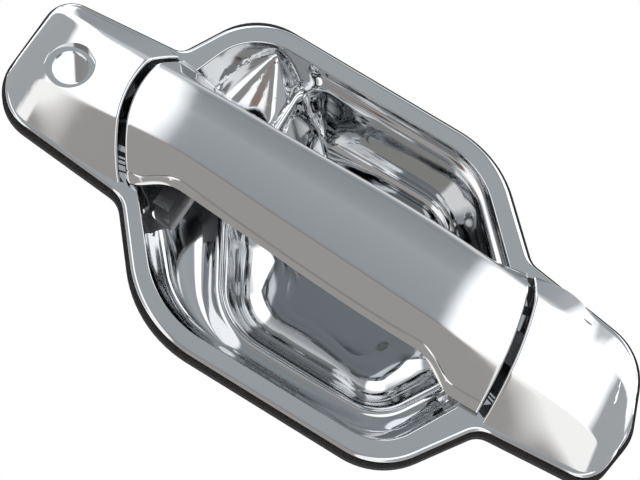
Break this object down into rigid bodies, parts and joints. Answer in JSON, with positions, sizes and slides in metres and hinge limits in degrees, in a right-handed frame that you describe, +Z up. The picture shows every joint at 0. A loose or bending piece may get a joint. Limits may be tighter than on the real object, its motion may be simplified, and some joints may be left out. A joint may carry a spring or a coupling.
{
  "type": "car door handle",
  "caption": "Chrome pull handle for a car's front door: bezel with finger bowl and key hole, hinged strap, and a latch lever and rod clip behind.",
  "frame": {"origin": "midway between the two mounting studs, in the plane of the door skin (the gasket's back face)", "axes": "+X forwards along the handle towards the hinge end, +Z up the door, +Y into the door; the outside is -Y"},
  "size_m": [0.2385, 0.076, 0.1172],
  "materials": {
    "chrome": "bright chrome plate",
    "gasket_foam": "black closed-cell foam",
    "zinc_plated_steel": "zinc plated",
    "cast_zinc": "as cast",
    "spring_steel": "oiled spring wire",
    "bush_plastic": "natural acetal",
    "clip_plastic": "moulded nylon",
    "rest_rubber": "black rubber"
  },
  "bodies": {
    "bezel": {"bezel": "chrome", "gasket": "gasket_foam", "mounting_studs": "zinc_plated_steel", "hinge_pin": "zinc_plated_steel", "hinge_pin_ring": "spring_steel", "strap_rests": "rest_rubber", "lever_pin": "zinc_plated_steel", "lever_pin_ring": "spring_steel", "lever_spring": "spring_steel"},
    "strap": {"strap_cover": "chrome", "strap_liner": "chrome", "strap_screws": "zinc_plated_steel", "hinge_arm": "cast_zinc", "arm_screws": "zinc_plated_steel", "hinge_bushes": "bush_plastic", "pull_leg": "cast_zinc", "leg_screws": "zinc_plated_steel"},
    "lever": {"lever": "cast_zinc", "lever_bushes": "bush_plastic"},
    "rod_clip": {"rod_clip": "clip_plastic"}
  },
  "joints": [
    {"name": "strap_hinge", "type": "hinge", "parent": "bezel", "child": "strap", "pos_m": [0.0755, -0.009, -0.002], "axis": [0, 0, 1], "range_deg": [0, 9]},
    {"name": "lever_pivot", "type": "hinge", "parent": "bezel", "child": "lever", "pos_m": [-0.06001, 0.02677, 0.02713], "axis": [-1, 0, 0], "range_deg": [0, 41], "stiffness_Nm_per_rad": 0.1, "springref_deg": -91.67, "deforming": ["lever_spring"]},
    {"name": "rod_clip_swivel", "type": "hinge", "parent": "lever", "child": "rod_clip", "pos_m": [-0.06001, 0.04365, 0.03339], "axis": [-1, 0, 0], "range_deg": [-35, 20]}
  ],
  "couplings": [
    {"joint": "lever_pivot", "follows": "strap_hinge", "ratio": 4.52}
  ]
}
